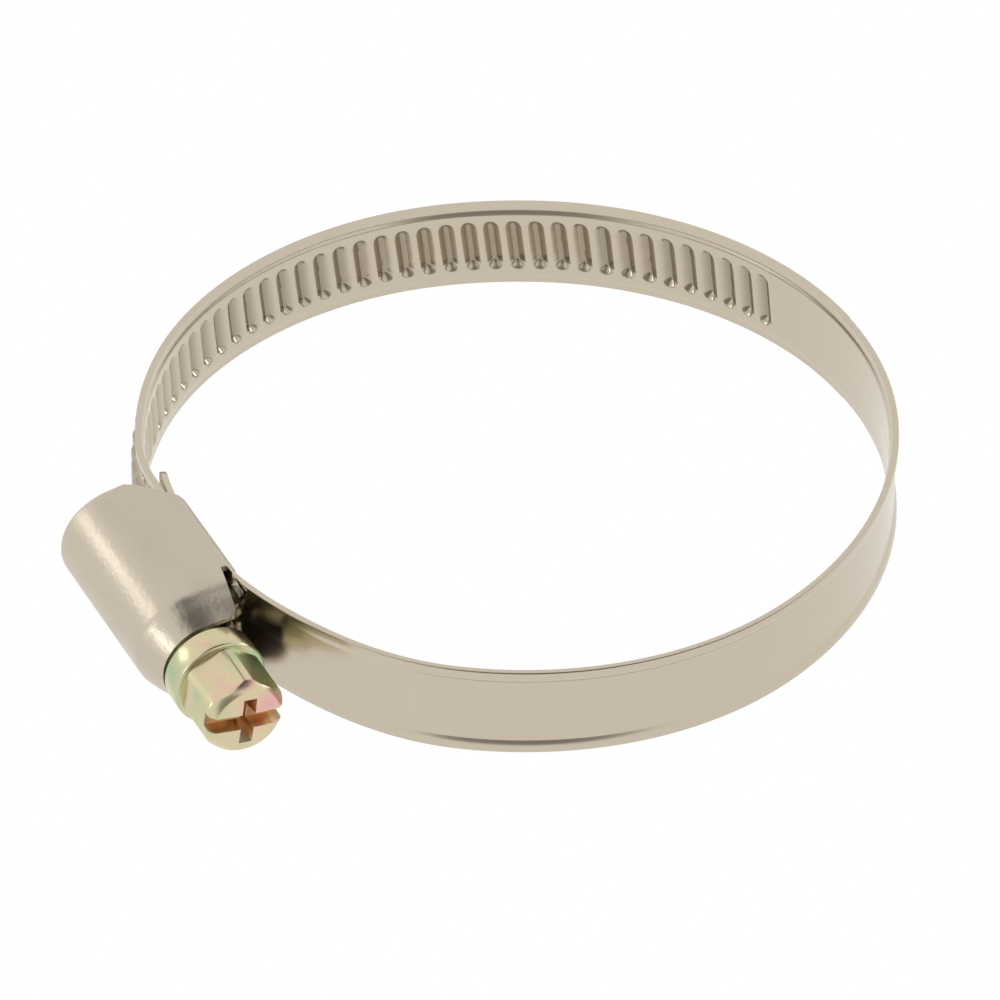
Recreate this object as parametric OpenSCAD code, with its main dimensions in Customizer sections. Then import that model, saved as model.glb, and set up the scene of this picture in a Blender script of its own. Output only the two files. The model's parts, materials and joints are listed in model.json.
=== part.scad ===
// Worm-drive hose clamp with an embossed 9 mm band.
// Z is the axis of the hose, with the origin at its centre. The housing is on the -Y side,
// and the screw lies along X with its head towards +X.

/* [Band] */
// Radius of the hose that the clamp is closed on
hose_r = 31.6; // [25:0.1:35]
// Width of the band
band_w = 9; // [8.6:0.1:9.2]
// Thickness of the band's sheet
sheet_t = 0.6; // [0.5:0.05:0.65]
// Width of each rolled edge
rim_w = 0.9; // [0.5:0.1:1.1]
// Height of the rolled edges, from the inner face
rim_h = 0.8; // [0.75:0.05:1]
// How far the band stands off the hose on the head side of the housing
head_bulge = 1.6; // [1:0.1:2]
// How far the band stands off the hose on the tip side of the housing
tip_bulge = 2.5; // [2:0.1:3]

/* [Thread] */
// Axial pitch of the worm and of the ridges in the band
pitch = 2.05; // [2:0.05:2.2]
// Height of the ridges
ridge_h = 0.45; // [0.3:0.05:0.5]
// Length of a ridge across the band
ridge_l = 5.8; // [4:0.1:6.2]
// Width of a groove along the band
groove_w = 1.15; // [1.1:0.05:1.25]
// Where the ridges begin, as an angle round the hose
ridge_from = 110; // [90:1:180]
// Crest radius of the worm
worm_r = 3.05; // [2.9:0.05:3.1]
// Half the depth of the worm's thread
worm_e = 0.4; // [0.3:0.05:0.45]

/* [Housing] */
// Width across the flanks
housing_w = 11.4; // [11.2:0.1:12.5]
// Thickness of the housing's sheet
housing_t = 0.7; // [0.5:0.05:0.7]
// Outer radius of the arch over the screw
arch_r = 5.2; // [5:0.05:5.4]
// Tip end of the housing
tip_x = -7.4; // [-8.5:0.1:-7]
// Where the arch ends and the neck begins
body_x = 9.2; // [9:0.1:10]
// Head end of the neck
neck_x = 11.9; // [11.6:0.1:13]

/* [Screw] */
// Distance from the hose axis to the screw axis
screw_y = 37; // [37:0.05:37.4]
// Radius of the collar
collar_r = 4.25; // [3.8:0.05:4.3]
// Length of the collar
collar_l = 2.6; // [1.5:0.1:3.5]
// Hexagon across flats
hex_af = 7; // [6:0.5:7]
// Length of the hexagon
hex_l = 4.9; // [4:0.1:6]
// Width of the slot
slot_w = 1.2; // [1:0.1:1.6]
// Depth of the slot
slot_d = 1.4; // [1:0.1:2]
// Length of the cross recess
cross_l = 4.9; // [4:0.1:5.5]
// Depth of the cross recess
cross_d = 2.2; // [1.5:0.1:3]

/* [Hidden] */
$fn = 64;

// play between pieces that slide or turn on each other
play = 0.1;
// direction, seen from the hose axis, that is opposite the housing
top_a = 92;
// the housing's flat base lies next to the hose, the band's fixed end on it, and its free end on that
base_y = hose_r + 0.3;
fixed_r = base_y + 0.6;
free_r = fixed_r + sheet_t + play;
// width of the hollow under a ridge
pocket_w = pitch - groove_w - 0.2;
// outer level of the ridges, from the inner face
crest_h = sheet_t + ridge_h;
// radius at which worm and band work on each other
mesh_r = free_r + sheet_t + ridge_h / 2;
// the fixed end runs through the housing and ends in a short tongue on the tip side
fixed_a = -107;
// the rolled edges begin clear of the housing
rim_a = -68;
// the free end, as far as it lies inside the housing
free_a0 = 263;
free_a1 = 286.5;
// the loop reaches the free end with this much air
loop_a1 = free_a0 - 0.1;
// extra metal on the inner face, which the hose's own radius then cuts to a true round wall
trim = 0.1;
// angle between points of the loop's outline
step_a = 3;
// length of the diagonal cut at the free end's corners
chamfer = 0.9;
// width across the band of the raised strip that the grooves are pressed into
raised_l = ridge_l + 0.2;
// plain metal at the free end past its last ridge, and left on the loop before it, as angles
plain_end_a = 1.5;
plain_loop_a = 2;

// the screw's stations along X
pilot_r = 2;
worm_x0 = tip_x + 1.7;
worm_x1 = body_x + 1;
neck_r = 2.2;
collar_x = neck_x + 0.4;
hex_x = collar_x + collar_l;
face_x = hex_x + hex_l;
dome_h = 0.7;
face_r = 3.3;
hex_turn = 23;
slot_turn = -8;

// the housing's cross-section: radius of the bends along the base, and half width of the neck's end
bend_r = 1;
neck_w = 4.5;
// the housing opens for the band: a slope at the tip end, a notch at the head end
slope_x = -3;
slope_y = 35.4;
lug_x = 7.2;
notch_x = 6.5;
notch_y = 32.95;
notch_r = 0.35;
notch_rise = 0.1;
lug_h = 0.4;
flank_y = 34.1;
slit_w = 1;
// room for the band between the base and the worm
way_r0 = fixed_r - trim - play / 2;
way_r1 = free_r + crest_h + 0.5;
// the band's way begins and ends clear of the housing, as angles round the hose
way_a0 = 245;
way_a1 = 300;
// room round the worm where the neck draws in
worm_room = 0.6;

function smooth(t) = let (c = max(0, min(1, t))) c * c * (3 - 2 * c);
function spot(r, a) = [r * cos(a), r * sin(a)];

// inner radius of the loop, u degrees from its far point: round where it holds the hose,
// then wider at the shoulder, then back in to the level it has inside the housing
function head_side(u) = hose_r + head_bulge * smooth((u - 28) / 105)
    - (hose_r + head_bulge - fixed_r) * smooth((u - 130) / 30);
function tip_side(u) = hose_r + tip_bulge * smooth((u - 60) / 75)
    - (hose_r + tip_bulge - free_r) * smooth((u - 156) / 14.5);
function loop_r(a) = a < top_a ? head_side(top_a - a) : tip_side(a - top_a);

// outline of a strip of the loop from angle a0 to a1, between two levels above the inner face
function strip(a0, a1, low, high) =
    let (n = ceil((a1 - a0) / step_a), d = (a1 - a0) / n)
    concat(
        [for (i = [0:n]) spot(loop_r(a0 + i * d) + low, a0 + i * d)],
        [for (i = [n:-1:0]) spot(loop_r(a0 + i * d) + high, a0 + i * d)]
    );

module loop_strip(a0, a1, low, high, z0, z1) {
    translate([0, 0, z0])
        linear_extrude(z1 - z0) polygon(strip(a0, a1, low, high));
}

// piece of a round ring, from radius r0 to r1 and from angle a0 to a1
module arc_strip(r0, r1, a0, a1, w) {
    rotate([0, 0, a0])
        rotate_extrude(angle = a1 - a0, $fn = 128)
            translate([r0, -w / 2]) square([r1 - r0, w]);
}

// a slanted bar of width w that presses one groove or one ridge, from radius r outwards
module press_bar(a, r, depth, w) {
    slant = atan(pitch / (2 * PI * worm_r));
    rotate([0, 0, a]) translate([r, 0, 0]) rotate([-slant, 0, 0])
        translate([0, -w / 2, -ridge_l / 2]) cube([depth, w, ridge_l]);
}

module band() {
    ridge_a = pitch / (hose_r + sheet_t) * 180 / PI;
    last = floor((loop_a1 - plain_loop_a - ridge_from) / ridge_a) - 1;
    color([0.78, 0.74, 0.67])
    difference() {
        union() {
            loop_strip(fixed_a, loop_a1, -trim, sheet_t, -band_w / 2, band_w / 2);
            for (z = [-band_w / 2, band_w / 2 - rim_w])
                loop_strip(rim_a, loop_a1, sheet_t / 2, rim_h, z, z + rim_w);
            loop_strip(ridge_from, loop_a1, sheet_t / 2, crest_h, -raised_l / 2, raised_l / 2);
        }
        translate([0, 0, -band_w]) cylinder(h = 2 * band_w, r = hose_r, $fn = 256);
        for (i = [0:last]) {
            a = ridge_from + (i + 0.75) * ridge_a;
            press_bar(a, loop_r(a) + sheet_t, 2, groove_w);
            press_bar(a - ridge_a / 2, loop_r(a) - 1, 1 + ridge_h, pocket_w);
        }
    }
}

module free_end() {
    ridge_a = pitch / mesh_r * 180 / PI;
    color([0.72, 0.69, 0.62])
    difference() {
        union() {
            arc_strip(free_r, free_r + sheet_t, free_a0, free_a1, band_w);
            arc_strip(free_r + sheet_t / 2, free_r + crest_h, free_a0, free_a1 - plain_end_a, raised_l);
        }
        for (i = [-3:4]) {
            press_bar(270 + i * ridge_a, free_r + sheet_t, 2, groove_w);
            press_bar(270 + (i - 0.5) * ridge_a, free_r - 1, 1 + ridge_h, pocket_w);
        }
        rotate([0, 0, free_a1])
            for (s = [-1, 1])
                translate([free_r, 0, s * band_w / 2])
                    rotate([45, 0, 0]) cube([4, chamfer * sqrt(2), chamfer * sqrt(2)], center = true);
    }
}

// places a drawing in the YZ plane and runs it along X from station x
module along_x(x) {
    translate([x, 0, 0]) rotate([90, 0, 90]) children();
}

// the same, centred on the screw's axis
module on_screw(x) {
    translate([x, -screw_y, 0]) rotate([90, 0, 90]) children();
}

// cross-section of the arch, flanks and base, less a skin of thickness t
module section(t) {
    bend_y = base_y + bend_r;
    bend_z = housing_w / 2 - bend_r;
    translate([-screw_y, 0]) circle(arch_r - t);
    polygon([
        [-screw_y, -arch_r + t], [-screw_y, arch_r - t],
        [-bend_y, housing_w / 2 - t], [-bend_y, -housing_w / 2 + t]
    ]);
    translate([-bend_y, -bend_z]) square([bend_r - t, 2 * bend_z]);
    for (s = [-1, 1])
        translate([-bend_y, s * bend_z]) circle(bend_r - t);
}

module housing() {
    long = body_x - tip_x;
    color([0.74, 0.70, 0.63])
    difference() {
        union() {
            // pressed sheet with a wall at each end
            difference() {
                along_x(tip_x) linear_extrude(long) section(0);
                along_x(tip_x + housing_t) linear_extrude(long - 2 * housing_t) section(housing_t);
            }
            // neck, drawn in round the screw, with the ends of the flanks beside it
            on_screw(body_x) cylinder(h = neck_x - body_x, r1 = arch_r, r2 = collar_r - play);
            translate([0, -screw_y, 0]) rotate([-90, 0, 0]) linear_extrude(screw_y - notch_y)
                polygon([[body_x - housing_t, -arch_r], [body_x, -arch_r], [neck_x, -neck_w],
                    [neck_x, neck_w], [body_x, arch_r], [body_x - housing_t, arch_r]]);
        }
        on_screw(tip_x - 1) cylinder(h = 3, r = pilot_r + play);
        on_screw(body_x) cylinder(h = neck_x, r = neck_r + play);
        on_screw(body_x - 2) cylinder(h = worm_x1 + play - body_x + 2, r = worm_r + worm_room);
        // the slit between the halves of the base
        translate([-20, -fixed_r, -slit_w / 2]) cube([40, 5, slit_w]);
        // the band's way through
        arc_strip(way_r0, way_r1, way_a0, way_a1, band_w + 2 * play);
        translate([0, 0, -housing_w]) linear_extrude(2 * housing_w) {
            polygon([[slope_x, -base_y + 5], [slope_x, -base_y], [tip_x, -slope_y],
                [tip_x - 1, -slope_y], [tip_x - 1, -base_y + 5]]);
            polygon([[lug_x, -base_y + 5], [lug_x, -base_y - lug_h], [notch_x, -notch_y],
                [neck_x, -flank_y], [neck_x + 1, -flank_y], [neck_x + 1, -base_y + 5]]);
            translate([notch_x + notch_r, -notch_y + notch_rise]) circle(notch_r);
        }
    }
}

module screw() {
    turns = (worm_x1 - worm_x0) / pitch;
    color([0.80, 0.76, 0.52])
    difference() {
        union() {
            // worm: a round bar run off centre along a helix, which makes a smooth single-start thread
            on_screw(worm_x0) rotate([0, 0, 360 * worm_x0 / pitch])
                linear_extrude(worm_x1 - worm_x0, twist = -360 * turns, slices = round(10 * turns), $fn = 18)
                    translate([worm_e, 0]) circle(worm_r - worm_e);
            on_screw(tip_x - 0.1) cylinder(h = worm_x0 - tip_x + 1.1, r = pilot_r);
            on_screw(worm_x1 - 1) cylinder(h = collar_x - worm_x1 + 2, r = neck_r);
            on_screw(collar_x) cylinder(h = collar_l, r = collar_r);
            on_screw(hex_x - 0.5) rotate([0, 0, hex_turn])
                cylinder(h = hex_l + 0.5, r = hex_af / sqrt(3), $fn = 6);
            on_screw(face_x - 0.01) cylinder(h = dome_h, r1 = hex_af / 2, r2 = face_r);
        }
        on_screw(face_x + dome_h - slot_d) rotate([0, 0, slot_turn])
            translate([-5, -slot_w / 2, 0]) cube([10, slot_w, 5]);
        on_screw(face_x + dome_h - cross_d) rotate([0, 0, slot_turn])
            translate([-slot_w / 2, -cross_l / 2, 0]) cube([slot_w, cross_l, 5]);
    }
}

housing();
band();
free_end();
screw();
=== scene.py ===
import json
import math

import bmesh
import bpy
from mathutils import Matrix, Vector


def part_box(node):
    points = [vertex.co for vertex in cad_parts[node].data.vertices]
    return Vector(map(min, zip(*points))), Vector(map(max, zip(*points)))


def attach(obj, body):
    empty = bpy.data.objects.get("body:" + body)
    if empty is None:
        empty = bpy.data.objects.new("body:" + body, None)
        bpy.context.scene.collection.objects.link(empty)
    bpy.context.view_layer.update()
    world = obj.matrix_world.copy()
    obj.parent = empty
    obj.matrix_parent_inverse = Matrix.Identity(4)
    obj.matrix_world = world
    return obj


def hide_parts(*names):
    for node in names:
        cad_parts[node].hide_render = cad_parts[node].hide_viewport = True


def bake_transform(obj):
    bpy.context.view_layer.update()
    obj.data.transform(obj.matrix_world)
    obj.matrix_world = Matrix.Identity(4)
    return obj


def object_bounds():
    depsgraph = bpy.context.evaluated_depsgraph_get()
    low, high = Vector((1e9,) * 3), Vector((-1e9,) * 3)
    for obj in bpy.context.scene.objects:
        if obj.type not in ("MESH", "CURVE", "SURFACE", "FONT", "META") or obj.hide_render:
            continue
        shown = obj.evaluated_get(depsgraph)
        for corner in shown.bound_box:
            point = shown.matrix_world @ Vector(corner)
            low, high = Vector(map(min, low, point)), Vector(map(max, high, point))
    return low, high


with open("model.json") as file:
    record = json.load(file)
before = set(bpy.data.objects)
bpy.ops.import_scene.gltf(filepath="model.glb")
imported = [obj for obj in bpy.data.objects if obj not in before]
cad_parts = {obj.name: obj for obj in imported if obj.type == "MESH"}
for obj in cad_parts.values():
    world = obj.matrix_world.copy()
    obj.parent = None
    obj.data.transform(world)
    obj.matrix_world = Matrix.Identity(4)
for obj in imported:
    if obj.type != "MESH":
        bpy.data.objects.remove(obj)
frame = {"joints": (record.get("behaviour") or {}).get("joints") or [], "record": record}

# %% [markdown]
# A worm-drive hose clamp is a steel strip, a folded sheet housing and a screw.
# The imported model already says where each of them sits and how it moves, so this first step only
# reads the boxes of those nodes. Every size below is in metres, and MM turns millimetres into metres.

MM = 0.001
cad_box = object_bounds()
housing_low, housing_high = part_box("housing")
screw_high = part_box("screw")[1]
bore = next(m for m in frame["record"]["mounts"] if m["name"] == "hose_bore")
hose_r = bore["dims"]["r_mm"] * MM
band_w = bore["dims"]["length_mm"] * MM
screw_joint = next(j for j in frame["joints"] if j["name"] == "screw_turn")
screw_y = screw_joint["pos_m"][1]
print("hose radius", hose_r, "band width", band_w, "screw axis at y", screw_y)

# %% [markdown]
# The camera looks down at the clamp from the screw's side, from far away and with a long lens,
# which keeps the ring's far side almost as large as its near side.
# Its place is worked out from two angles and a distance around the middle of the ring.

# %% Camera
VIEW_TURN = math.radians(64)
VIEW_TILT = math.radians(39.66)
VIEW_DISTANCE = 0.9
VIEW_AIM = Vector((-0.1, -0.8, 0)) * MM

back = Vector((math.sin(VIEW_TURN) * math.cos(VIEW_TILT),
               -math.cos(VIEW_TURN) * math.cos(VIEW_TILT),
               math.sin(VIEW_TILT)))
right = Vector((math.cos(VIEW_TURN), math.sin(VIEW_TURN), 0))
up = back.cross(right)
bpy.ops.object.camera_add(location=VIEW_AIM + back * VIEW_DISTANCE)
camera = bpy.context.object
camera.name = "camera"
camera.rotation_euler = Matrix((right, up, back)).transposed().to_euler()
camera.data.sensor_width = 36
camera.data.lens = 364.8
camera.data.shift_x = -0.021
camera.data.shift_y = -0.033
camera.data.clip_end = 5
bpy.context.scene.camera = camera
print("camera at", [round(v, 3) for v in camera.location])

# %% [markdown]
# Three small helpers. An operator works on everything that is selected, so each piece starts with
# nothing selected, and `pick` then selects vertices by their place, as one would by hand with a box.

# %% Helpers
def start_clean():
    bpy.ops.object.select_all(action="DESELECT")


def pick(piece, test):
    """In edit mode, selects the vertices whose place passes the test."""
    bpy.ops.mesh.select_all(action="DESELECT")
    shape = bmesh.from_edit_mesh(piece.data)
    for vert in shape.verts:
        vert.select = test(vert.co)
    shape.select_flush(True)
    bmesh.update_edit_mesh(piece.data)


def add_modifier(piece, kind, **settings):
    """Adds one modifier with its settings and applies it at once."""
    modifier = piece.modifiers.new(kind.lower(), kind)
    for key, value in settings.items():
        setattr(modifier, key, value)
    bpy.context.view_layer.objects.active = piece
    bpy.ops.object.modifier_apply(modifier=modifier.name)


def finish_mesh(piece, angle=35):
    """Merges doubles, points the faces outwards and smooths what isn't a real edge."""
    start_clean()
    piece.select_set(True)
    bpy.context.view_layer.objects.active = piece
    bpy.ops.object.mode_set(mode="EDIT")
    bpy.ops.mesh.select_all(action="SELECT")
    bpy.ops.mesh.remove_doubles(threshold=0.002 * MM)
    bpy.ops.mesh.normals_make_consistent(inside=False)
    bpy.ops.object.mode_set(mode="OBJECT")
    bpy.ops.object.shade_smooth_by_angle(angle=math.radians(angle))
    print(piece.name, len(piece.data.polygons), "faces")


def smooth(t):
    t = max(0.0, min(1.0, t))
    return t * t * (3 - 2 * t)

# %% [markdown]
# The ring isn't a true circle. Round a hose it is true over a third of a turn, opposite the housing,
# then swings out to a shoulder on each side, and comes back in to where the housing holds it.
# Nothing fills it here, so it also sags in and out a little all the way round. Each entry of SAGS gives
# where, how far to each side in degrees, and how deep.
# One function of the angle gives the radius of the band's inner face, and the angle runs on
# past a full turn, because the free end passes over the fixed end inside the housing.

# %% The ring's outline
SHEET_T = 0.6 * MM
TOP = 92
HEAD_BULGE = 1.6 * MM
TIP_BULGE = 2.5 * MM
FIXED_R = hose_r + 0.9 * MM
FREE_R = FIXED_R + SHEET_T + 0.1 * MM
FIXED_END = -107
FREE_END = 285.5


def head_side(u):
    swing = HEAD_BULGE * smooth((u - 20) / 115)
    return hose_r + swing - (hose_r + HEAD_BULGE - FIXED_R) * smooth((u - 130) / 30)


def tip_side(u):
    swing = TIP_BULGE * smooth((u - 60) / 75)
    return hose_r + swing - (hose_r + TIP_BULGE - FREE_R) * smooth((u - 156) / 14.5)


SAGS = ((-30, 45, -0.36 * MM), (70, 50, 0.25 * MM), (138, 38, -0.2 * MM), (208, 34, -0.14 * MM))


def loop_r(angle):
    sag = sum(depth * smooth(1 - abs(angle - middle) / reach) for middle, reach, depth in SAGS)
    return sag + (head_side(TOP - angle) if angle < TOP else tip_side(angle - TOP))

# %% [markdown]
# The strip is rolled by a Curve modifier, which lays a flat piece along a curve. This curve runs in
# the middle of the sheet's thickness. `length_at` is the distance along it, which the flat strip
# needs so that its threads come out in mesh with the worm.

# %% The path that the strip is rolled along
STEPS_PER_DEGREE = 1
count = int(round((FREE_END + 1 - FIXED_END) * STEPS_PER_DEGREE))
angles = [FIXED_END + i / STEPS_PER_DEGREE for i in range(count + 1)]
path_points = []
for angle in angles:
    r = loop_r(angle) + SHEET_T / 2
    path_points.append(Vector((r * math.cos(math.radians(angle)), r * math.sin(math.radians(angle)), 0)))
lengths = [0.0]
for a, b in zip(path_points, path_points[1:]):
    lengths.append(lengths[-1] + (b - a).length)


def length_at(angle):
    step = (angle - FIXED_END) * STEPS_PER_DEGREE
    i = min(int(step), count - 1)
    return lengths[i] + (lengths[i + 1] - lengths[i]) * (step - i)


path_data = bpy.data.curves.new("band_path", "CURVE")
path_data.dimensions = "3D"
path_data.twist_mode = "Z_UP"
spline = path_data.splines.new("POLY")
spline.points.add(count)
for point, place in zip(spline.points, path_points):
    point.co = (*place, 1)
path = bpy.data.objects.new("band_path", path_data)
bpy.context.scene.collection.objects.link(path)
print("strip length", round(length_at(FREE_END) / MM, 1), "mm")

# %% [markdown]
# The threads in the strip are pressed ridges. One pitch of them is modelled on a flat grid:
# a line of vertices is pushed out with proportional editing, which gives a hollow with round ends,
# and the lines between two hollows are pushed the other way, which gives a crowned land.
# One cell is pressed and then repeated with an Array modifier, much as a roller would press them.

# %% One pressed cell
PITCH = 2.05 * MM
WORM_R = 3.05 * MM
SLANT = PITCH / (2 * math.pi * WORM_R)
ACROSS = 60
ALONG = 12
RIDGE_HALF = 2.05 * MM
HOLLOW_DEPTH = 0.62 * MM
HOLLOW_REACH = 0.95 * MM
LAND_RISE = 0.12 * MM
LAND_REACH = 0.42 * MM


def push(piece, test, height, reach):
    """Moves the picked vertices up by height, and drags what is within reach along."""
    pick(piece, test)
    bpy.ops.transform.translate(
        value=(0, 0, height), use_proportional_edit=True, proportional_edit_falloff="SMOOTH",
        proportional_size=reach, use_proportional_connected=False, use_proportional_projected=False)


def flat_grid(name, length, along):
    start_clean()
    bpy.ops.mesh.primitive_grid_add(x_subdivisions=along, y_subdivisions=ACROSS, size=1)
    piece = bpy.context.object
    piece.name = name
    bpy.ops.object.mode_set(mode="EDIT")
    bpy.ops.mesh.select_all(action="SELECT")
    bpy.ops.transform.resize(value=(length, band_w, 1))
    return piece


moving = flat_grid("band_moving_half", PITCH, ALONG)
eps = 0.01 * MM
push(moving, lambda p: abs(p.x) < eps and abs(p.y) < RIDGE_HALF, HOLLOW_DEPTH, HOLLOW_REACH)
push(moving, lambda p: abs(abs(p.x) - PITCH / 2) < eps and abs(p.y) < RIDGE_HALF, -LAND_RISE, LAND_REACH)
bpy.ops.object.mode_set(mode="OBJECT")
for vert in moving.data.vertices:
    vert.co.x += SLANT * vert.co.y
heights = [v.co.z / MM for v in moving.data.vertices]
print("cell", len(moving.data.vertices), "vertices, heights", round(min(heights), 3), round(max(heights), 3))

# %% [markdown]
# The moving half of the band runs from the ring's far side, through the housing, to the free end.
# Its cells are set so that a land lies on the line between the hose's and the screw's axes,
# where the worm's crest is. The plain stretch before the first ridge is drawn out of the last
# row of edges with extrude. The free end is cut off at a slant, and its leading corner too, with bisect.

# %% The moving half, flat
RIDGES_FROM = 110
PLAIN_TAIL = 1.6 * MM
mesh_s = length_at(270)
first = math.ceil((length_at(RIDGES_FROM) - mesh_s) / PITCH - 0.5) + 0.5
last = math.floor((length_at(FREE_END) - PLAIN_TAIL - mesh_s) / PITCH - 0.5) - 0.5
cells = int(last - first) + 1
for vert in moving.data.vertices:
    vert.co.x += mesh_s + first * PITCH
add_modifier(moving, "ARRAY", count=cells, use_relative_offset=False, use_constant_offset=True,
             constant_offset_displace=(PITCH, 0, 0), use_merge_vertices=True, merge_threshold=0.01 * MM)


def draw_out(piece, side, target, steps):
    """Extrudes the end row of a flat strip to the station target. side is -1 or 1."""
    end = max(side * v.co.x for v in piece.data.vertices if abs(v.co.y) < band_w)
    slope_room = abs(SLANT) * band_w / 2
    bpy.ops.object.mode_set(mode="EDIT")
    pick(piece, lambda p: side * (p.x - SLANT * p.y) > end - slope_room - eps)
    edge_x = side * (end - slope_room)
    for i in range(1, steps + 1):
        station = edge_x + (target - edge_x) * i / steps
        bpy.ops.mesh.extrude_region_move()
        shape = bmesh.from_edit_mesh(piece.data)
        for vert in shape.verts:
            if vert.select:
                vert.co.x = station
                vert.co.z = 0
        bmesh.update_edit_mesh(piece.data)
    bpy.ops.object.mode_set(mode="OBJECT")


draw_out(moving, -1, length_at(TOP), 12)
draw_out(moving, 1, length_at(FREE_END), 4)
TIP_Z = band_w / 2 - 0.66 * MM
END_SLANT = math.radians(22)
CORNER_CUT = (0.66, 0.93, 0)
bpy.ops.object.mode_set(mode="EDIT")
for cut in ((1, -math.tan(END_SLANT), 0), CORNER_CUT):
    bpy.ops.mesh.select_all(action="SELECT")
    bpy.ops.mesh.bisect(plane_co=(length_at(FREE_END), TIP_Z, 0), plane_no=cut, clear_outer=True)
bpy.ops.object.mode_set(mode="OBJECT")
print("moving half:", cells, "ridges,", len(moving.data.polygons), "faces flat")

# %% [markdown]
# The fixed half is the plain stretch from its tongue, under the worm, round to the far side.
# A finer grid isn't needed here, because nothing is pressed into it. Its tongue is a little narrower.

# %% The fixed half, flat
fixed_len = length_at(TOP)
fixed = flat_grid("band_fixed_half", fixed_len, 120)
bpy.ops.transform.translate(value=(fixed_len / 2, 0, 0))
bpy.ops.object.mode_set(mode="OBJECT")
TONGUE = 5 * MM
for vert in fixed.data.vertices:
    narrow = 1 - smooth(vert.co.x / TONGUE)
    round_end = max(0.0, 1 - vert.co.x / (1.2 * MM)) ** 2
    vert.co.y *= 1 - 0.1 * narrow - 0.12 * round_end

# %% [markdown]
# Both edges of the band are stepped outwards, so that they don't cut the hose. The step fades out
# towards the housing, which has to let the strip through flat. After that the sheet gets its
# thickness from Solidify, is stood on edge, and is rolled up by the Curve modifier.
# Two things are kept while the strip is still flat, for its material: its coordinates, as a UV map that
# the rolling marks follow, and how deeply each point was pressed, as an attribute that paints shade into the
# hollows.

# %% Step the edges, thicken, and roll up
LIP_RISE = 0.24 * MM
LIP_WIDTH = 1.15 * MM
LIP_BEND = 0.62 * MM
LIP_FROM = -71
LIP_TO = 262


def lip_share(s):
    """How much of the edge's step is there, by the distance along the strip."""
    out_of_head = smooth((s - length_at(LIP_FROM)) / (20 * MM))
    into_tip = smooth((length_at(LIP_TO) - s) / (6 * MM))
    return out_of_head * into_tip


def mark_sharp_edges(piece):
    """Gives a bevel weight to the strip's cut edges, but none where the two halves meet."""
    shape = bmesh.new()
    shape.from_mesh(piece.data)
    weight = shape.edges.layers.float.new("bevel_weight_edge")
    for edge in shape.edges:
        at_joint = all(abs(v.co.x - length_at(TOP)) < eps for v in edge.verts)
        if len(edge.link_faces) == 2 and edge.calc_face_angle() > math.radians(60) and not at_joint:
            edge[weight] = 1
    shape.to_mesh(piece.data)
    shape.free()


def make_band(piece):
    # How deeply each point was pressed, which the material turns into painted shade in the hollows.
    pressed = piece.data.attributes.new("pressed", "FLOAT", "POINT")
    for vert in piece.data.vertices:
        pressed.data[vert.index].value = max(0.0, vert.co.z / HOLLOW_DEPTH)
    for vert in piece.data.vertices:
        across = abs(vert.co.y) - (band_w / 2 - LIP_WIDTH)
        if across > 0:
            vert.co.z += LIP_RISE * smooth(across / LIP_BEND) * lip_share(vert.co.x)
        vert.co.z -= SHEET_T / 2
    flat = piece.data.uv_layers.get("UVMap") or piece.data.uv_layers.new(name="UVMap")
    for loop in piece.data.loops:
        place = piece.data.vertices[loop.vertex_index].co
        flat.data[loop.index].uv = (place.x / band_w, place.y / band_w)
    add_modifier(piece, "SOLIDIFY", thickness=SHEET_T, offset=1, use_even_offset=True)
    start_clean()
    piece.select_set(True)
    bpy.context.view_layer.objects.active = piece
    piece.rotation_euler.x = math.pi / 2
    bpy.ops.object.transform_apply(location=False, rotation=True, scale=False)
    mark_sharp_edges(piece)
    add_modifier(piece, "BEVEL", width=0.1 * MM, segments=2, limit_method="WEIGHT")
    add_modifier(piece, "CURVE", object=path, deform_axis="POS_X")
    finish_mesh(piece)


make_band(fixed)
make_band(moving)
bpy.data.objects.remove(path)

# %% [markdown]
# The housing is one blank of sheet, folded round the screw. A grid is that blank: its rows are
# stations along the screw, and its columns follow the cross-section from one side of the slit in
# the base, round the bend, up the flank, over the arch and down the other side. The first rows
# close the tip end round the screw's pilot, and the last ones are drawn in to the neck.

# %% The housing's cross-section
ARCH_R = 5.2 * MM
BASE_Y = -(hose_r + 0.3 * MM)
HALF_W = (housing_high.z - housing_low.z) / 2
BEND_R = 1.0 * MM
SLIT = 0.5 * MM
NECK_R = 4.15 * MM
HOLE_R = 2.15 * MM


def half_section():
    """Points (y, z) from the slit to the top of the arch, on the +Z side."""
    bend_y = BASE_Y - BEND_R
    bend_z = HALF_W - BEND_R
    points = [(BASE_Y, SLIT + (bend_z - SLIT) * i / 4) for i in range(4)]
    for i in range(8):
        turn = math.radians(90 * i / 7)
        points.append((bend_y + BEND_R * math.cos(turn), bend_z + BEND_R * math.sin(turn)))
    for i in range(1, 7):
        points.append((bend_y + (screw_y - bend_y) * i / 7, HALF_W + (ARCH_R - HALF_W) * i / 7))
    for i in range(17):
        turn = math.radians(90 * i / 16)
        points.append((screw_y - ARCH_R * math.sin(turn), ARCH_R * math.cos(turn)))
    return points


half = half_section()
section = half + [(y, -z) for y, z in reversed(half[:-1])]
print("cross-section of", len(section), "points")

# %% The housing's stations
TIP_X = housing_low.x
BODY_END = 8.2 * MM
NECK_END = housing_high.x


def shrink(point, amount):
    """The point moved in towards the screw's axis by a distance."""
    y, z = point[0] - screw_y, point[1]
    r = math.hypot(y, z)
    return (screw_y + y * (r - amount) / r, z * (r - amount) / r)


def tip_hole(point):
    y, z = point[0] - screw_y, point[1]
    r = math.hypot(y, z)
    return (screw_y + y * HOLE_R / r, z * HOLE_R / r)


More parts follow.
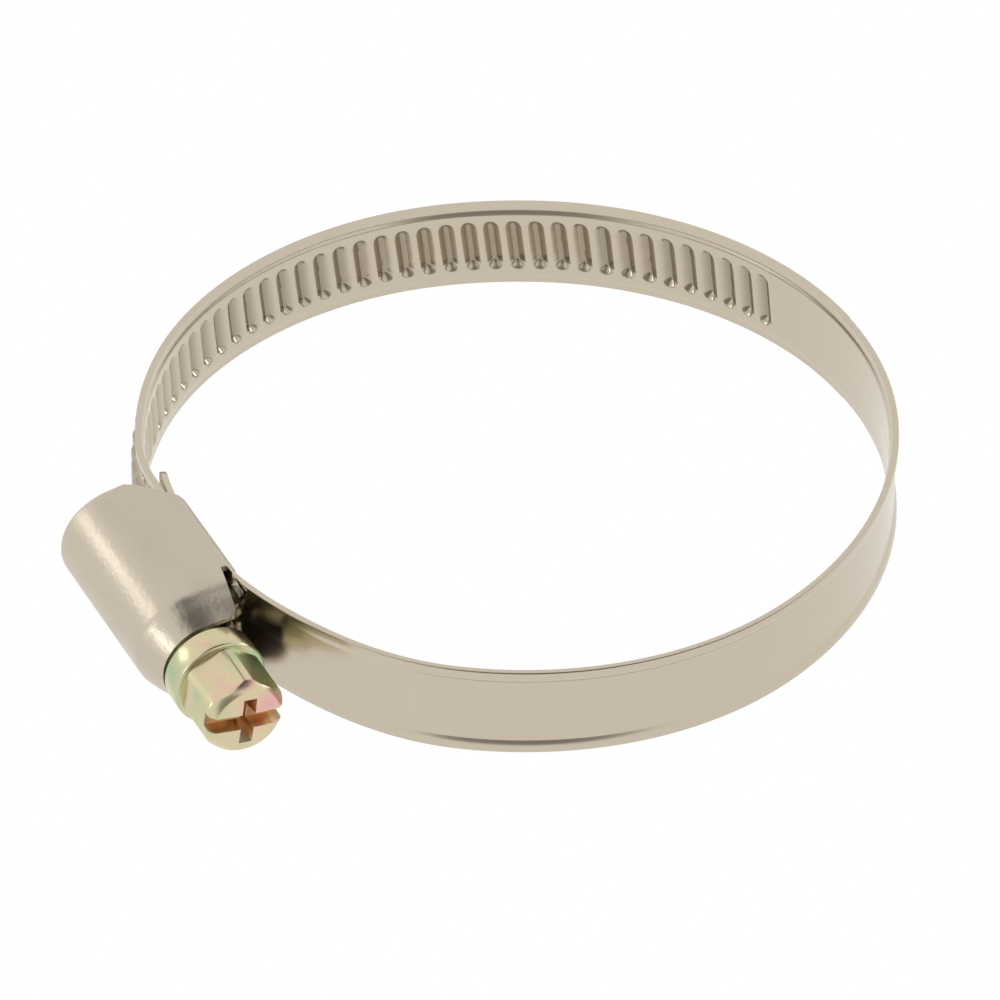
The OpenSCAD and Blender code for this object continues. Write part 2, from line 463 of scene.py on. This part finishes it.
def neck(point, share):
    """Between the body's section, share 0, and the neck's, share 1."""
    y, z = point
    beside = smooth((y - screw_y) / (2.5 * MM))
    k = 1 - (1 - NECK_R / ARCH_R - 0.06 * beside) * share
    if y < screw_y:
        return (screw_y + (y - screw_y) * k, z * k)
    return (y, z * k)


EDGE = 0.4 * MM
TIP_LEAN = 0.4 * MM
FLANK_LEAN = 0.35 * MM
FLANK_FLARE = 0.35 * MM
stations = [(TIP_X, tip_hole)]
for i in range(5):
    turn = math.radians(90 * i / 4)
    inset = EDGE * (1 - math.sin(turn))
    stations.append((TIP_X + EDGE * (1 - math.cos(turn)), lambda p, inset=inset: shrink(p, inset)))
for i in range(1, 13):
    x = TIP_X + EDGE + (BODY_END - TIP_X - EDGE) * i / 12
    stations.append((x, lambda p: p))
NECK_STEPS = 12
for i in range(1, NECK_STEPS + 1):
    t = i / NECK_STEPS
    share = 0.15 * smooth(t / 0.35) + 0.85 * smooth((t - 0.1) / 1.3) / smooth(0.9 / 1.3)
    stations.append((BODY_END + (NECK_END - BODY_END) * t, lambda p, share=share: neck(p, share)))
print(len(stations), "stations from", round(TIP_X / MM, 2), "to", round(NECK_END / MM, 2), "mm")

# %% Fold the blank
start_clean()
bpy.ops.mesh.primitive_grid_add(x_subdivisions=len(stations) - 1, y_subdivisions=len(section) - 1, size=1)
housing = bpy.context.object
housing.name = "housing_shell"
for vert in housing.data.vertices:
    i = round((vert.co.x + 0.5) * (len(stations) - 1))
    j = round((vert.co.y + 0.5) * (len(section) - 1))
    x, shape_at = stations[i]
    y, z = shape_at(section[j])
    lean = TIP_LEAN * smooth((screw_y - y) / ARCH_R) * smooth(-x / (6 * MM))
    lean += FLANK_LEAN * smooth((y - screw_y + 4 * MM) / (5 * MM)) * smooth(-x / (6 * MM))
    flare = FLANK_FLARE * smooth((y - screw_y) / (3 * MM)) * smooth((x - BODY_END) / (NECK_END - BODY_END))
    vert.co = (x - lean + flare, y, z)
finish_mesh(housing)

# %% [markdown]
# The shell gets its thickness inwards. Then two pieces are cut away from its sides: a slope at the
# tip end, where the free band comes in, and at the head end a notch with a round root, where the
# fixed band comes out under a short lug. A Boolean modifier with one extruded outline does both ends.

# %% Thickness, and the openings for the band
HOUSING_T = 0.6 * MM


def outward(piece):
    """True if the faces point away from the screw's axis, on the whole."""
    total = 0
    for face in piece.data.polygons:
        side = Vector((0, face.center.y - screw_y, face.center.z))
        total += face.normal.dot(side) * face.area
    return total > 0


if not outward(housing):
    housing.data.flip_normals()
add_modifier(housing, "SOLIDIFY", thickness=HOUSING_T, offset=-1, use_even_offset=True)


def arc(x, y, r, start, end, steps=6):
    """Points on an arc in the plane of X and Y, in millimetres, from one angle to another."""
    turns = [math.radians(start + (end - start) * i / steps) for i in range(steps + 1)]
    return [(x + r * math.cos(t), y + r * math.sin(t)) for t in turns]


def cutter(name, outline):
    """A prism across the whole width, from an outline in millimetres."""
    start_clean()
    bpy.ops.mesh.primitive_circle_add(vertices=len(outline), radius=1, fill_type="NGON")
    piece = bpy.context.object
    piece.name = name
    for vert, (x, y) in zip(piece.data.vertices, outline):
        vert.co = (x * MM, y * MM, -HALF_W * 1.5)
    bpy.ops.object.mode_set(mode="EDIT")
    bpy.ops.mesh.select_all(action="SELECT")
    bpy.ops.mesh.extrude_region_move(TRANSFORM_OT_translate={"value": (0, 0, HALF_W * 3)})
    bpy.ops.mesh.select_all(action="SELECT")
    bpy.ops.mesh.normals_make_consistent(inside=False)
    bpy.ops.object.mode_set(mode="OBJECT")
    return piece


base = BASE_Y / MM
tip = TIP_X / MM
slope = cutter("slope", [(-2.6, base + 4), (-2.9, base + 0.05), (-3.4, base - 0.35), (tip + 0.4, -35.3),
                         (tip, -35.9), (tip - 1, -36.2), (tip - 1, base + 4)])
notch_outline = arc(6.9, base - 1.1, 1.1, 90, 20, 8)
notch_outline += arc(7.15, -32.98, 0.32, 75, 235, 10)
notch_outline += [(11.4, -34.0)]
notch_outline += arc(11.5, -34.8, 0.75, 90, 0, 6)
notch_outline += [(14, -34.8), (14, base + 4), (6.9, base + 4)]
notch = cutter("notch", notch_outline)
for tool in (slope, notch):
    add_modifier(housing, "BOOLEAN", object=tool, operation="DIFFERENCE", solver="MANIFOLD")
    bpy.data.objects.remove(tool)
add_modifier(housing, "BEVEL", width=0.07 * MM, segments=2, limit_method="ANGLE",
             angle_limit=math.radians(50))
finish_mesh(housing)

# %% [markdown]
# The screw's head is a collar, a hexagon and a slightly domed end with a slot and a cross arm.
# It is modelled upright, as it would stand on a bench, and laid down along X at the end.
# The hexagon's corners are rounded with a vertex bevel before it is drawn up. Its end is rounded as on a
# lathe: a Boolean keeps what the hexagon and a turned blank have in common, which gives the flats
# their curved ends.

# %% The screw's head
COLLAR_R = 4.25 * MM
COLLAR_X = NECK_END + 0.4 * MM
COLLAR_L = 2.6 * MM
HEX_AF = 7 * MM
FACE_X = screw_high.x
HEX_X = COLLAR_X + COLLAR_L
HEX_TURN = math.radians(-7)
SLOT_TURN = math.radians(-8)
CROSS_TURN = SLOT_TURN + math.pi / 2
SLOT_W = 1.6 * MM
SLOT_D = 1.5 * MM
CROSS_L = 5.1 * MM
CROSS_W = 1.35 * MM
CROSS_D = 2.3 * MM


def lay_down(piece):
    """From upright on the origin to along X on the screw's axis."""
    turn = Matrix(((0, 0, 1), (1, 0, 0), (0, 1, 0))).to_4x4()
    piece.data.transform(Matrix.Translation((0, screw_y, 0)) @ turn)


start_clean()
hex_from = HEX_X - 0.6 * MM
bpy.ops.mesh.primitive_circle_add(vertices=6, radius=HEX_AF / math.sqrt(3), fill_type="NGON",
                                  location=(0, 0, hex_from), rotation=(0, 0, HEX_TURN))
hexagon = bpy.context.object
hexagon.name = "hexagon"
bpy.ops.object.transform_apply()
bpy.ops.object.mode_set(mode="EDIT")
bpy.ops.mesh.select_all(action="SELECT")
bpy.ops.mesh.bevel(offset=0.7 * MM, segments=6, affect="VERTICES")
bpy.ops.mesh.select_all(action="SELECT")
bpy.ops.mesh.extrude_region_move(TRANSFORM_OT_translate={"value": (0, 0, FACE_X + 1 * MM - hex_from)})
bpy.ops.mesh.select_all(action="SELECT")
bpy.ops.mesh.normals_make_consistent(inside=False)
bpy.ops.object.mode_set(mode="OBJECT")

# %% The turned blank that rounds the hexagon's end
DOME = [(4.3, -2.4), (4.12, -1.7), (3.95, -1.25), (3.72, -0.85), (3.5, -0.55), (3.3, -0.32), (3.12, -0.17),
        (3.0, -0.12), (1.6, -0.02)]
start_clean()
bpy.ops.mesh.primitive_circle_add(vertices=96, radius=DOME[0][0] * MM, fill_type="NGON",
                                  location=(0, 0, hex_from - 0.5 * MM))
blank = bpy.context.object
blank.name = "blank"
bpy.ops.object.transform_apply()
bpy.ops.object.mode_set(mode="EDIT")
bpy.ops.mesh.select_all(action="SELECT")
level, reach = hex_from - 0.5 * MM, DOME[0][0]
for r, depth in DOME:
    rise = FACE_X + depth * MM - level
    bpy.ops.mesh.extrude_region_move(TRANSFORM_OT_translate={"value": (0, 0, rise)})
    bpy.ops.transform.resize(value=(r / reach, r / reach, 1), center_override=(0, 0, level + rise))
    level, reach = level + rise, r
bpy.ops.mesh.select_all(action="SELECT")
bpy.ops.mesh.normals_make_consistent(inside=False)
bpy.ops.object.mode_set(mode="OBJECT")
add_modifier(hexagon, "BOOLEAN", object=blank, operation="INTERSECT", solver="MANIFOLD")
bpy.data.objects.remove(blank)

# %% The collar
start_clean()
bpy.ops.mesh.primitive_cylinder_add(vertices=96, radius=COLLAR_R, depth=COLLAR_L,
                                    location=(0, 0, COLLAR_X + COLLAR_L / 2))
head = bpy.context.object
head.name = "screw_body"
bpy.ops.object.transform_apply()
add_modifier(head, "BEVEL", width=0.22 * MM, segments=3, limit_method="ANGLE", angle_limit=math.radians(40))
add_modifier(head, "BOOLEAN", object=hexagon, operation="UNION", solver="MANIFOLD")
bpy.data.objects.remove(hexagon)

# %% [markdown]
# The slot runs right across the end face. The cross arm is shorter and deeper, as on a
# cross-point screw. Each is a tapered cube, cut out with a Boolean modifier.

# %% The recess in the head
def recess(length, width, depth, taper, turn):
    """A wedge that narrows towards its bottom."""
    start_clean()
    bpy.ops.mesh.primitive_cube_add(size=1)
    tool = bpy.context.object
    for vert in tool.data.vertices:
        low = vert.co.z < 0
        k = taper if low else 1.0
        vert.co.x *= length * (k if length < 8 * MM else 1.0)
        vert.co.y *= width * k
        vert.co.z = FACE_X - depth if low else FACE_X + 0.5 * MM
    tool.data.transform(Matrix.Rotation(turn, 4, "Z"))
    tool.data.update()
    add_modifier(head, "BOOLEAN", object=tool, operation="DIFFERENCE", solver="MANIFOLD")
    bpy.data.objects.remove(tool)


recess(11 * MM, SLOT_W, SLOT_D, 0.85, CROSS_TURN + math.pi / 2)
recess(CROSS_L, CROSS_W, CROSS_D, 0.55, CROSS_TURN)
add_modifier(head, "BEVEL", width=0.1 * MM, segments=2, limit_method="ANGLE", angle_limit=math.radians(40))

# %% [markdown]
# The worm is one turn of a thread profile, swept by the Screw modifier, which turns and lifts it
# turn after turn. The shank and the pilot in the tip wall are plain cylinders joined to it.

# %% The worm and the shank
ROOT_R = 2.35 * MM
SHANK_R = 2.2 * MM
PILOT_R = 2.0 * MM
worm_from = TIP_X + 1.7 * MM
worm_to = BODY_END + 1.2 * MM
profile = [(ROOT_R, -0.5), (ROOT_R, -0.27), (WORM_R, -0.1), (WORM_R, 0.1), (ROOT_R, 0.27), (ROOT_R, 0.5)]
start_clean()
bpy.ops.mesh.primitive_circle_add(vertices=len(profile), radius=1)
worm = bpy.context.object
worm.name = "worm"
bpy.ops.object.mode_set(mode="EDIT")
shape = bmesh.from_edit_mesh(worm.data)
shape.verts.ensure_lookup_table()
for vert, (r, share) in zip(shape.verts, profile):
    vert.co = (r, 0, share * PITCH)
for edge in list(shape.edges):
    if {edge.verts[0].index, edge.verts[1].index} == {0, len(profile) - 1}:
        shape.edges.remove(edge)
bmesh.update_edit_mesh(worm.data)
bpy.ops.object.mode_set(mode="OBJECT")
turns = int((worm_to - worm_from) / PITCH)
add_modifier(worm, "SCREW", axis="Z", angle=2 * math.pi, screw_offset=PITCH, iterations=turns,
             steps=48, render_steps=48, use_merge_vertices=True, merge_threshold=0.002 * MM)
middle = (worm_from + worm_to) / 2
whole = round((middle - turns * PITCH / 2) / PITCH)
worm.data.transform(Matrix.Translation((0, 0, whole * PITCH)))
worm_low = min(v.co.z for v in worm.data.vertices)
worm_high = max(v.co.z for v in worm.data.vertices)
for name, r, low, high in (("pilot", PILOT_R, TIP_X - 0.1 * MM, worm_low + 1.5 * MM),
                           ("core", ROOT_R, worm_low + 0.9 * MM, worm_high - 0.9 * MM),
                           ("shank", SHANK_R, worm_high - 1.5 * MM, COLLAR_X + 0.5 * MM)):
    start_clean()
    bpy.ops.mesh.primitive_cylinder_add(vertices=48, radius=r, depth=high - low,
                                        location=(0, 0, (high + low) / 2))
    rod = bpy.context.object
    rod.name = name
    bpy.ops.object.transform_apply()
    add_modifier(rod, "BEVEL", width=0.15 * MM, segments=2, limit_method="ANGLE",
                 angle_limit=math.radians(40))
    start_clean()
    rod.select_set(True)
    head.select_set(True)
    bpy.context.view_layer.objects.active = head
    bpy.ops.object.join()
start_clean()
worm.select_set(True)
head.select_set(True)
bpy.context.view_layer.objects.active = head
bpy.ops.object.join()
lay_down(head)
finish_mesh(head, 30)
print("worm from", round(worm_low / MM, 2), "to", round(worm_high / MM, 2), "mm,", turns, "turns")

# %% [markdown]
# Every metal here shares one effect: a fine grain that breaks up its gloss. It is a node group, so that
# each finish can set its own size and strength, and it gives out a value and a height.

# %% A shared grain
def make_grain():
    group = bpy.data.node_groups.new("metal_grain", "ShaderNodeTree")
    for name in ("Scale", "Stretch"):
        group.interface.new_socket(name, in_out="INPUT", socket_type="NodeSocketFloat")
    group.interface.new_socket("Vector", in_out="INPUT", socket_type="NodeSocketVector")
    for name in ("Fine", "Coarse"):
        group.interface.new_socket(name, in_out="OUTPUT", socket_type="NodeSocketFloat")
    nodes, links = group.nodes, group.links
    enter = nodes.new("NodeGroupInput")
    leave = nodes.new("NodeGroupOutput")
    squeeze = nodes.new("ShaderNodeCombineXYZ")
    squeeze.inputs["Y"].default_value = 1
    squeeze.inputs["Z"].default_value = 1
    links.new(enter.outputs["Stretch"], squeeze.inputs["X"])
    stretched = nodes.new("ShaderNodeVectorMath")
    stretched.operation = "MULTIPLY"
    links.new(enter.outputs["Vector"], stretched.inputs[0])
    links.new(squeeze.outputs["Vector"], stretched.inputs[1])
    for output, detail, share in (("Fine", 3, 1.0), ("Coarse", 2, 0.12)):
        scale = nodes.new("ShaderNodeMath")
        scale.operation = "MULTIPLY"
        scale.inputs[1].default_value = share
        noise = nodes.new("ShaderNodeTexNoise")
        noise.inputs["Detail"].default_value = detail
        links.new(enter.outputs["Scale"], scale.inputs[0])
        links.new(scale.outputs[0], noise.inputs["Scale"])
        links.new(stretched.outputs["Vector"], noise.inputs["Vector"])
        links.new(noise.outputs["Fac"], leave.inputs[output])
    return group


grain_group = make_grain()


def metal(name, colour, roughness):
    """A plain metallic Principled material and the handles to its nodes."""
    material = bpy.data.materials.new(name)
    material.use_nodes = True
    nodes, links = material.node_tree.nodes, material.node_tree.links
    shader = nodes["Principled BSDF"]
    shader.inputs["Base Color"].default_value = (*colour, 1)
    shader.inputs["Metallic"].default_value = 1
    shader.inputs["Roughness"].default_value = roughness
    return material, nodes, links, shader


def add_grain(nodes, links, vector, scale, stretch):
    grain = nodes.new("ShaderNodeGroup")
    grain.node_tree = grain_group
    grain.inputs["Scale"].default_value = scale
    grain.inputs["Stretch"].default_value = stretch
    links.new(vector, grain.inputs["Vector"])
    return grain


def spread(nodes, links, value, low, high):
    """Maps a noise value to a range."""
    ranged = nodes.new("ShaderNodeMapRange")
    ranged.inputs["From Min"].default_value = 0.3
    ranged.inputs["From Max"].default_value = 0.7
    ranged.inputs["To Min"].default_value = low
    ranged.inputs["To Max"].default_value = high
    links.new(value, ranged.inputs["Value"])
    return ranged.outputs["Result"]


def fade(nodes, links, value, none_at, all_at):
    """Turns a value into a mask: 0 where it is none_at, and 1 where it is all_at."""
    ranged = nodes.new("ShaderNodeMapRange")
    ranged.inputs["From Min"].default_value = none_at
    ranged.inputs["From Max"].default_value = all_at
    links.new(value, ranged.inputs["Value"])
    return ranged.outputs["Result"]


def bump(nodes, links, height, distance, strength=1.0):
    node = nodes.new("ShaderNodeBump")
    node.inputs["Distance"].default_value = distance
    node.inputs["Strength"].default_value = strength
    links.new(height, node.inputs["Height"])
    return node

# %% [markdown]
# The band is bright rolled strip. Its marks run along the strip, so its grain reads the UV map that
# was kept before rolling, stretched a long way in that direction. The hollows get painted shade: their
# colour is darker where the attribute says that the strip was pressed.

# %% Bright rolled strip
STRIP_BRIGHT = (0.565, 0.5, 0.405)
# Painted shade: the colour at the bottoms of the pressed hollows.
STRIP_HOLLOW_SHADE = (0.34, 0.29, 0.22)


def make_strip_steel():
    material, nodes, links, shader = metal("rolled_strip_steel", STRIP_BRIGHT, 0.2)
    uv = nodes.new("ShaderNodeUVMap")
    uv.uv_map = "UVMap"
    grain = add_grain(nodes, links, uv.outputs["UV"], 60, 0.06)
    links.new(spread(nodes, links, grain.outputs["Coarse"], 0.16, 0.26), shader.inputs["Roughness"])
    relief = bump(nodes, links, grain.outputs["Fine"], 0.003 * MM)
    links.new(relief.outputs["Normal"], shader.inputs["Normal"])
    # Painted shade: the colour darkens with how deeply each point was pressed.
    pressed = nodes.new("ShaderNodeAttribute")
    pressed.attribute_name = "pressed"
    hollow_shade_mix = nodes.new("ShaderNodeMix")
    hollow_shade_mix.data_type = "RGBA"
    hollow_shade_mix.inputs["A"].default_value = (*STRIP_BRIGHT, 1)
    hollow_shade_mix.inputs["B"].default_value = (*STRIP_HOLLOW_SHADE, 1)
    links.new(pressed.outputs["Fac"], hollow_shade_mix.inputs["Factor"])
    links.new(hollow_shade_mix.outputs["Result"], shader.inputs["Base Color"])
    return material


strip_steel = make_strip_steel()

# %% [markdown]
# The housing has been tumbled, which leaves a satin skin with fine pits and a few bright nicks.

# %% Tumbled housing steel
def make_tumbled_steel():
    material, nodes, links, shader = metal("tumbled_steel", (0.56, 0.495, 0.405), 0.32)
    place = nodes.new("ShaderNodeTexCoord")
    grain = add_grain(nodes, links, place.outputs["Object"], 2600, 0.6)
    links.new(spread(nodes, links, grain.outputs["Coarse"], 0.27, 0.38), shader.inputs["Roughness"])
    relief = bump(nodes, links, grain.outputs["Fine"], 0.03 * MM)
    links.new(relief.outputs["Normal"], shader.inputs["Normal"])
    return material


tumbled_steel = make_tumbled_steel()

# %% [markdown]
# The screw is zinc plated and passivated. The thin film gives a pale yellow that drifts to
# pink and green from place to place, which a slow noise through a colour ramp imitates.

# %% Yellow passivated zinc
def make_zinc():
    material, nodes, links, shader = metal("yellow_zinc", (0.6, 0.56, 0.36), 0.22)
    place = nodes.new("ShaderNodeTexCoord")
    grain = add_grain(nodes, links, place.outputs["Object"], 1800, 1.0)
    drift = nodes.new("ShaderNodeTexNoise")
    drift.inputs["Scale"].default_value = 230
    drift.inputs["Detail"].default_value = 1.5
    links.new(place.outputs["Object"], drift.inputs["Vector"])
    ramp = nodes.new("ShaderNodeValToRGB")
    ramp.color_ramp.elements[0].position = 0.32
    ramp.color_ramp.elements[0].color = (0.42, 0.52, 0.33, 1)
    ramp.color_ramp.elements[1].position = 0.7
    ramp.color_ramp.elements[1].color = (0.78, 0.4, 0.42, 1)
    middle_stop = ramp.color_ramp.elements.new(0.44)
    middle_stop.color = (0.6, 0.57, 0.36, 1)
    warm_stop = ramp.color_ramp.elements.new(0.58)
    warm_stop.color = (0.68, 0.58, 0.38, 1)
    links.new(drift.outputs["Fac"], ramp.inputs["Fac"])
    # the recess is tinted orange: near the axis, and between the end face and the recess's bottom
    split = nodes.new("ShaderNodeSeparateXYZ")
    links.new(place.outputs["Object"], split.inputs["Vector"])
    flat_place = nodes.new("ShaderNodeCombineXYZ")
    links.new(split.outputs["Y"], flat_place.inputs["Y"])
    links.new(split.outputs["Z"], flat_place.inputs["Z"])
    off_axis = nodes.new("ShaderNodeVectorMath")
    off_axis.operation = "DISTANCE"
    off_axis.inputs[1].default_value = (0, screw_y, 0)
    links.new(flat_place.outputs["Vector"], off_axis.inputs[0])
    inside = fade(nodes, links, off_axis.outputs["Value"], 3.45 * MM, 3.2 * MM)
    below = fade(nodes, links, split.outputs["X"], FACE_X - 0.35 * MM, FACE_X - 0.8 * MM)
    above = fade(nodes, links, split.outputs["X"], FACE_X - 3.2 * MM, FACE_X - 2.8 * MM)
    near_face = nodes.new("ShaderNodeMath")
    near_face.operation = "MULTIPLY"
    links.new(below, near_face.inputs[0])
    links.new(above, near_face.inputs[1])
    in_recess = nodes.new("ShaderNodeMath")
    in_recess.operation = "MULTIPLY"
    links.new(inside, in_recess.inputs[0])
    links.new(near_face.outputs[0], in_recess.inputs[1])
    film = nodes.new("ShaderNodeMix")
    film.data_type = "RGBA"
    film.inputs["B"].default_value = (0.68, 0.46, 0.28, 1)
    links.new(in_recess.outputs[0], film.inputs["Factor"])
    links.new(ramp.outputs["Color"], film.inputs["A"])
    links.new(film.outputs["Result"], shader.inputs["Base Color"])
    links.new(spread(nodes, links, grain.outputs["Coarse"], 0.17, 0.3), shader.inputs["Roughness"])
    relief = bump(nodes, links, grain.outputs["Fine"], 0.004 * MM)
    links.new(relief.outputs["Normal"], shader.inputs["Normal"])
    return material


zinc = make_zinc()

# %% [markdown]
# Each piece gets its finish. The housing rides on the clamp's body and the screw's head on the screw's;
# the two halves of the band are baked in place and ride on no body.

# %% Finishes and bodies
def dress(piece, material):
    piece.data.materials.clear()
    piece.data.materials.append(material)


dress(fixed, strip_steel)
dress(moving, strip_steel)
dress(housing, tumbled_steel)
dress(head, zinc)
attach(housing, "clamp")
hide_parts("housing")
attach(head, "screw")
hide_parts("screw")
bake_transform(fixed)
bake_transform(moving)
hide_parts("band")
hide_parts("free_end")

# %% [markdown]
# The floor is plain and white. Polished metal shows what is around it, so the studio matters as much as
# the lamps. The sky here is a white tent with two dark cards in it, one overhead and one at the side,
# and the floor lets reflected rays through to it. Without the cards the metal would look flat.

# %% Floor and sky
start_clean()
bpy.ops.mesh.primitive_plane_add(size=6, location=(0, 0, cad_box[0][2]))
floor = bpy.context.object
floor.name = "floor"
floor_paint = bpy.data.materials.new("floor_paint")
floor_paint.use_nodes = True
nodes, links = floor_paint.node_tree.nodes, floor_paint.node_tree.links
nodes.remove(nodes["Principled BSDF"])
white = nodes.new("ShaderNodeEmission")
clear = nodes.new("ShaderNodeBsdfTransparent")
seen = nodes.new("ShaderNodeLightPath")
mix = nodes.new("ShaderNodeMixShader")
links.new(seen.outputs["Is Glossy Ray"], mix.inputs["Fac"])
links.new(white.outputs["Emission"], mix.inputs[1])
links.new(clear.outputs["BSDF"], mix.inputs[2])
links.new(mix.outputs["Shader"], nodes["Material Output"].inputs["Surface"])
floor.data.materials.append(floor_paint)

world = bpy.data.worlds.new("studio")
bpy.context.scene.world = world
world.use_nodes = True
nodes, links = world.node_tree.nodes, world.node_tree.links
place = nodes.new("ShaderNodeTexCoord")


def dark_card(towards, edge, core, level):
    """How bright the sky is in each direction, with one round dark card in it."""
    facing = nodes.new("ShaderNodeVectorMath")
    facing.operation = "DOT_PRODUCT"
    facing.inputs[1].default_value = Vector(towards).normalized()
    links.new(place.outputs["Generated"], facing.inputs[0])
    card = nodes.new("ShaderNodeMapRange")
    card.interpolation_type = "SMOOTHSTEP"
    card.inputs["From Min"].default_value = edge
    card.inputs["From Max"].default_value = core
    card.inputs["To Min"].default_value = 1
    card.inputs["To Max"].default_value = level
    links.new(facing.outputs["Value"], card.inputs["Value"])
    return card.outputs["Result"]


both = nodes.new("ShaderNodeMath")
both.operation = "MULTIPLY"
links.new(dark_card((0.1, 0.15, 0.98), 0.8, 0.93, 0.1), both.inputs[0])
links.new(dark_card((0.85, -0.4, 0.35), 0.8, 0.95, 0.3), both.inputs[1])
links.new(both.outputs[0], nodes["Background"].inputs["Strength"])
nodes["Background"].inputs["Color"].default_value = (1, 0.99, 0.97, 1)

# %% Lamps
def soft_lamp(name, place, size, power):
    bpy.ops.object.light_add(type="AREA", location=place)
    lamp = bpy.context.object
    lamp.name = name
    lamp.data.size = size
    lamp.data.energy = power
    lamp.rotation_euler = Vector(place).to_track_quat("Z", "Y").to_euler()


soft_lamp("front_lamp", (-0.12, -0.85, 0.3), 0.22, 0.45)
soft_lamp("back_lamp", (0.1, 0.85, 0.26), 0.22, 0.9)
soft_lamp("side_lamp", (-0.62, -0.55, 0.3), 0.25, 0.25)
bpy.context.scene.view_settings.view_transform = "Standard"
print("lights set")
